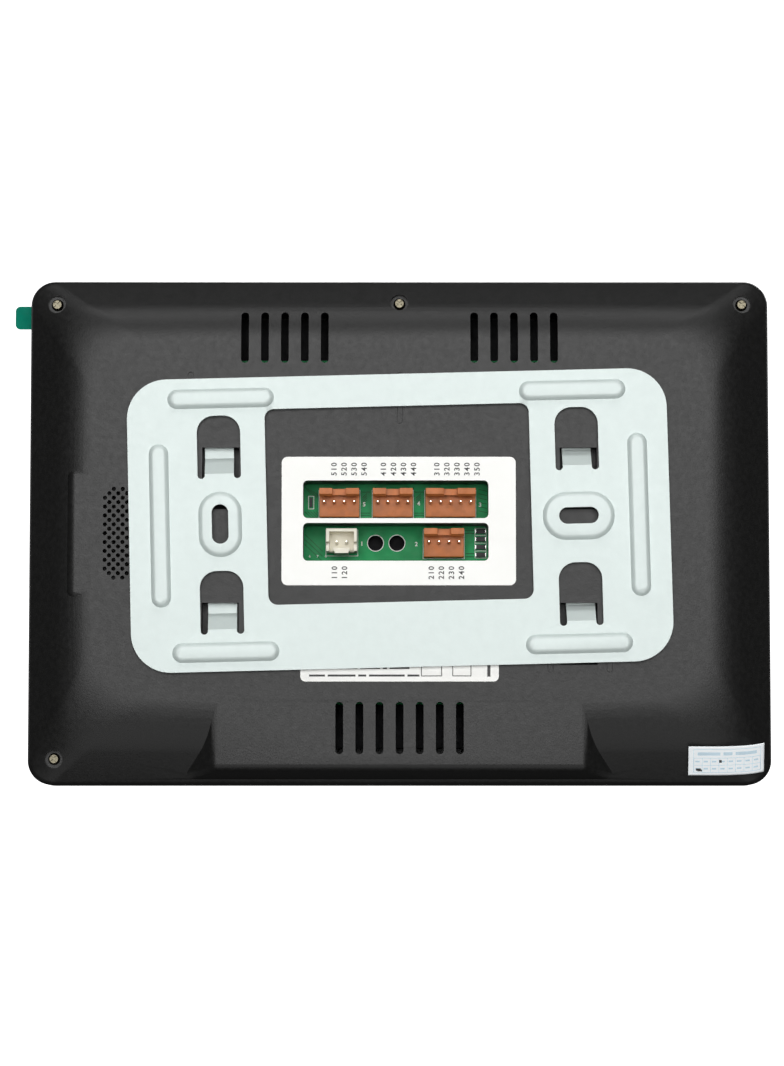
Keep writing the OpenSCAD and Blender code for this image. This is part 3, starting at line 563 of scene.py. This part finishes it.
def draw_traces(y, copper):
    """The darker copper tracks that show between the headers."""
    traces = []
    for i in range(5):
        x = (-24.2 + 0.75 * i) * MM
        traces.append(line_box((x, 3.2 * MM), (x + 3.2 * MM, 0.2 * MM), 0.16 * MM, y))
        drop = 0.4 * i * MM
        traces.append(line_box((x, 9.6 * MM - drop), (x + 1.6 * MM, 7.6 * MM - drop), 0.16 * MM, y))
    for i in range(3):
        z = (-2.6 - 1.3 * i) * MM
        traces.append(line_box((-24.2 * MM, z), (-19.6 * MM, z - 4.4 * MM), 0.16 * MM, y))
    for x in (-9.9, 3.9, 16.8):
        for z in (2.2, 2.8, 8.2):
            traces.append(line_box((x * MM, z * MM), ((x + 2.4) * MM, z * MM), 0.2 * MM, y))
    for z in (-1.7, -2.4, -7.6, -8.4):
        traces.append(line_box((16.8 * MM, z * MM), (19.1 * MM, z * MM), 0.2 * MM, y))
    for i in range(6):
        z = (8.9 - 1.1 * i) * MM
        traces.append(line_box((20.2 * MM, z), (22.4 * MM, z - 0.5 * MM), 0.16 * MM, y))
    for i in range(4):
        z = (4.9 + 0.55 * i) * MM
        for x in (-9.6, 4.2):
            traces.append(line_box((x * MM, z), ((x + 1.3) * MM, z + 1.3 * MM), 0.18 * MM, y))
    for x in (-10.2, 3.6):
        traces.append(line_box((x * MM, 9.4 * MM), (x * MM, 6.2 * MM), 0.18 * MM, y))
    add_piece("board_traces", strokes_mesh("board_traces", traces), copper)


def add_small_parts(y, solder, black, silk):
    """The soldered ends of the protection diodes, and a resistor array with its outline."""
    ends = []
    for i in range(4):
        z = -1.9 * MM - DIODE_PITCH * i
        for side in (-1, 1):
            x = 20.7 * MM + side * 1.0 * MM
            ends.append((x - 0.28 * MM, x + 0.28 * MM, y - 0.75 * MM, y - 0.02 * MM,
                         z - 0.42 * MM, z + 0.42 * MM))
    add_piece("diode_ends", strips_mesh("diode_ends", ends), solder)

    small = [(-22.9 * MM, -22.2 * MM, y - 0.5 * MM, y, 4.3 * MM, 6.7 * MM)]
    add_piece("small_resistor_array", strips_mesh("small_resistor_array", small), black)
    border = outline(-23.3 * MM, -21.8 * MM, 3.8 * MM, 7.2 * MM, y, 0.15 * MM)
    add_piece("resistor_outline", strips_mesh("resistor_outline", border), silk)


def dress_board(silk, copper, solder, black):
    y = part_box("main_board")[0].y
    print_board(y, silk)
    draw_traces(y, copper)
    add_small_parts(y, solder, black, silk)


# ------------------------------------------------------------------ seal sticker

SEAL_W, SEAL_H = 19.2 * MM, 8.2 * MM
SEAL_LIFT = 0.35 * MM        # its left end comes off the flank
SEAL_BEND = 0.6 * MM         # its right end bends in towards the flank
SEAL_BOW = 0.45 * MM         # both ends stand higher than its middle
LIFT_END, BEND_START = 0.3, 0.75
FLANK_TILT = 30              # degrees that the flank leans


def seal_point(u, v, above=0.0):
    """A point of the paper seal, where u runs along it and v up it, both from 0 to 1."""
    bend = -SEAL_BEND * (max(0, u - BEND_START) / (1 - BEND_START)) ** 2
    lift = SEAL_LIFT * (max(0, LIFT_END - u) / LIFT_END) ** 2
    bow = SEAL_BOW * (2 * u - 1) ** 2
    return ((u - 0.5) * SEAL_W, (v - 0.5) * SEAL_H + bow, bend + lift + above)


def seal_patches(name, patches, above=0.0):
    """One mesh of patches of the seal's surface, each (u0, u1, v0, v1)."""
    points, faces = [], []
    for u0, u1, v0, v1 in patches:
        columns = max(1, round(40 * (u1 - u0)))
        rows = max(1, round(20 * (v1 - v0)))
        base = len(points)
        for j in range(rows + 1):
            for i in range(columns + 1):
                points.append(seal_point(u0 + (u1 - u0) * i / columns,
                                         v0 + (v1 - v0) * j / rows, above))
        for j in range(rows):
            for i in range(columns):
                a = base + j * (columns + 1) + i
                faces.append((a, a + 1, a + columns + 2, a + columns + 1))
    mesh = bpy.data.meshes.new(name)
    mesh.from_pydata(points, [], faces)
    for polygon in mesh.polygons:
        polygon.use_smooth = True
    return mesh


def place_on_flank(piece, middle):
    piece.location = middle
    piece.rotation_euler = (math.radians(90 + FLANK_TILT), math.radians(-1.5), 0)


def make_seal(printing, ink):
    """A curling paper seal with a generic printed grid and ink marks."""
    low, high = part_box("seal_sticker")
    middle = (low + high) / 2 + Vector((-0.9 * MM, -0.3 * MM, -0.2 * MM))
    look = Look("seal_white", (0.93, 0.97, 0.99), roughness=0.65)
    look.vary_color(0.004, 0.012)
    look.bump(0.0004, 0.00001, detail=4)
    # painted light: the seal glows faintly, so it looks brighter than the lamps alone make it
    look.shader.inputs["Emission Color"].default_value = (0.9, 0.97, 1.0, 1)
    look.shader.inputs["Emission Strength"].default_value = 0.1
    sheet = add_piece("seal_sheet", seal_patches("seal_sheet", [(0, 1, 0, 1)]), look.material)
    solid = sheet.modifiers.new("solid", "SOLIDIFY")
    solid.thickness = 0.1 * MM
    solid.offset = -1
    place_on_flank(sheet, middle)
    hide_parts("seal_sticker")

    half = 0.008             # of a line's width
    lines = [(0.07, 0.95, v - half, v + half) for v in (0.1, 0.35, 0.6, 0.9)]
    lines += [(0.07 + 0.11 * i, 0.076 + 0.11 * i, 0.1, 0.6) for i in range(9)]
    lines += [(0.065, 0.071, 0.1, 0.9), (0.949, 0.955, 0.1, 0.9)]
    lines += [(0.12, 0.42, 0.69, 0.8), (0.46, 0.58, 0.69, 0.8), (0.62, 0.9, 0.69, 0.8)]
    lines += [(0.09 + 0.11 * i, 0.15 + 0.11 * i, v, v + 0.06)
              for i in range(8) for v in (0.2, 0.45)]
    grid = add_piece("seal_print", seal_patches("seal_print", lines, 0.02 * MM), printing)
    place_on_flank(grid, middle)
    marks = [(0.1, 0.165, 0.16, 0.24), (0.12, 0.18, 0.14, 0.2), (0.405, 0.44, 0.44, 0.54)]
    spots = add_piece("seal_marks", seal_patches("seal_marks", marks, 0.04 * MM), ink)
    place_on_flank(spots, middle)


# ------------------------------------------------------------------ front panel

def disc_mesh(name, radius, inner, steps=36):
    """A flat ring, or a disc when inner is nearly nothing, facing +Y round its own origin."""
    points, faces = [], []
    for i in range(steps):
        a = 2 * math.pi * i / steps
        for r in (inner, radius):
            points.append((r * math.cos(a), 0, r * math.sin(a)))
    for i in range(steps):
        j = (i + 1) % steps
        faces.append((2 * i, 2 * j, 2 * j + 1, 2 * i + 1))
    mesh = bpy.data.meshes.new(name)
    mesh.from_pydata(points, [], faces)
    return mesh


def arrow_mesh(name, half, way):
    """A triangle that points up when `way` is 1 and down when it is -1."""
    mesh = bpy.data.meshes.new(name)
    mesh.from_pydata([(-half, 0, -half * 0.6 * way), (half, 0, -half * 0.6 * way),
                      (0, 0, half * 0.7 * way)], [], [(0, 1, 2)])
    return mesh


KEYS = {"talk": "key_1", "unlock": "key_2", "monitor": "key_3", "up": "key_4", "down": "key_5"}
# strips (x0, x1, z0, z1) in millimetres that draw a key's generic sign
SIGN_STRIPS = {
    "unlock": [(-0.3, 0.3, -2.0, 0.2), (0.3, 1.1, -2.0, -1.5), (0.3, 0.9, -1.1, -0.7)],
    "monitor": [(-1.9, 1.9, 1.1, 1.4), (-1.9, 1.9, -1.0, -0.7), (-1.9, -1.6, -0.7, 1.1),
                (1.6, 1.9, -0.7, 1.1), (-0.8, 0.8, -1.7, -1.4)],
}


def print_key(kind, printing):
    """A generic sign on one key cap, riding on that key's own body."""
    low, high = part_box(KEYS[kind])
    middle = (low + high) / 2
    face = high.y + INK

    def sign(name, mesh, up=0.0):
        piece = add_piece(name, mesh, printing, kind + "_key")
        piece.location = (middle.x, face, middle.z + up)

    if kind == "talk":
        sign("sign_talk", disc_mesh("sign_talk", 1.7 * MM, 1.3 * MM))
        sign("sign_talk_dot", disc_mesh("sign_talk_dot", 0.6 * MM, 0.02 * MM))
    elif kind in ("up", "down"):
        sign("sign_" + kind, arrow_mesh("sign_" + kind, 1.6 * MM, 1 if kind == "up" else -1))
    else:
        boxes = [(middle.x + x0 * MM, middle.x + x1 * MM, high.y, face,
                  middle.z + z0 * MM, middle.z + z1 * MM) for x0, x1, z0, z1 in SIGN_STRIPS[kind]]
        add_piece("sign_" + kind, strips_mesh("sign_" + kind, boxes), printing,
                  kind + "_key")
    if kind == "unlock":
        sign("sign_unlock_bow", disc_mesh("sign_unlock_bow", 1.1 * MM, 0.65 * MM), 1.1 * MM)


def dress_front(printing):
    """The signs on the keys, and the edge and dark glass of the picture area."""
    for kind in KEYS:
        print_key(kind, printing)
    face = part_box("front_window")[1].y
    low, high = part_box("lcd_panel")
    inset = 4.5 * MM
    left, right = low.x + inset, high.x - inset
    bottom, top = low.z + inset, high.z - inset
    border = outline(left, right, bottom, top, face + INK, 0.35 * MM)
    grey = plastic("border_grey", (0.06, 0.06, 0.066), 0.3)
    add_piece("picture_border", strips_mesh("picture_border", border), grey)
    picture = plastic("picture_glass", (0.012, 0.015, 0.022), 0.1, coat=0.6)
    area = [(left, right, face, face + THIN_INK, bottom, top)]
    add_piece("picture_area", strips_mesh("picture_area", area), picture)


make_camera()
make_lights()
make_stage()
materials = build_materials()
dress_nodes(materials)
finish_surfaces()

ink_black = plastic("ink_black", (0.05, 0.05, 0.05), 0.6)
silk_white = plastic("silk_white", (0.82, 0.84, 0.80), 0.55)
trace_green = plastic("trace_green", (0.003, 0.085, 0.025), 0.45, gloss=0.2)
print_terminal_label(ink_black)
print_rating_label(ink_black)
dress_board(silk_white, trace_green, materials["pin_tin"], materials["chip_black"])
make_seal(plastic("seal_blue", (0.66, 0.83, 0.93), 0.6, gloss=0.2), ink_black)
dress_front(silk_white)
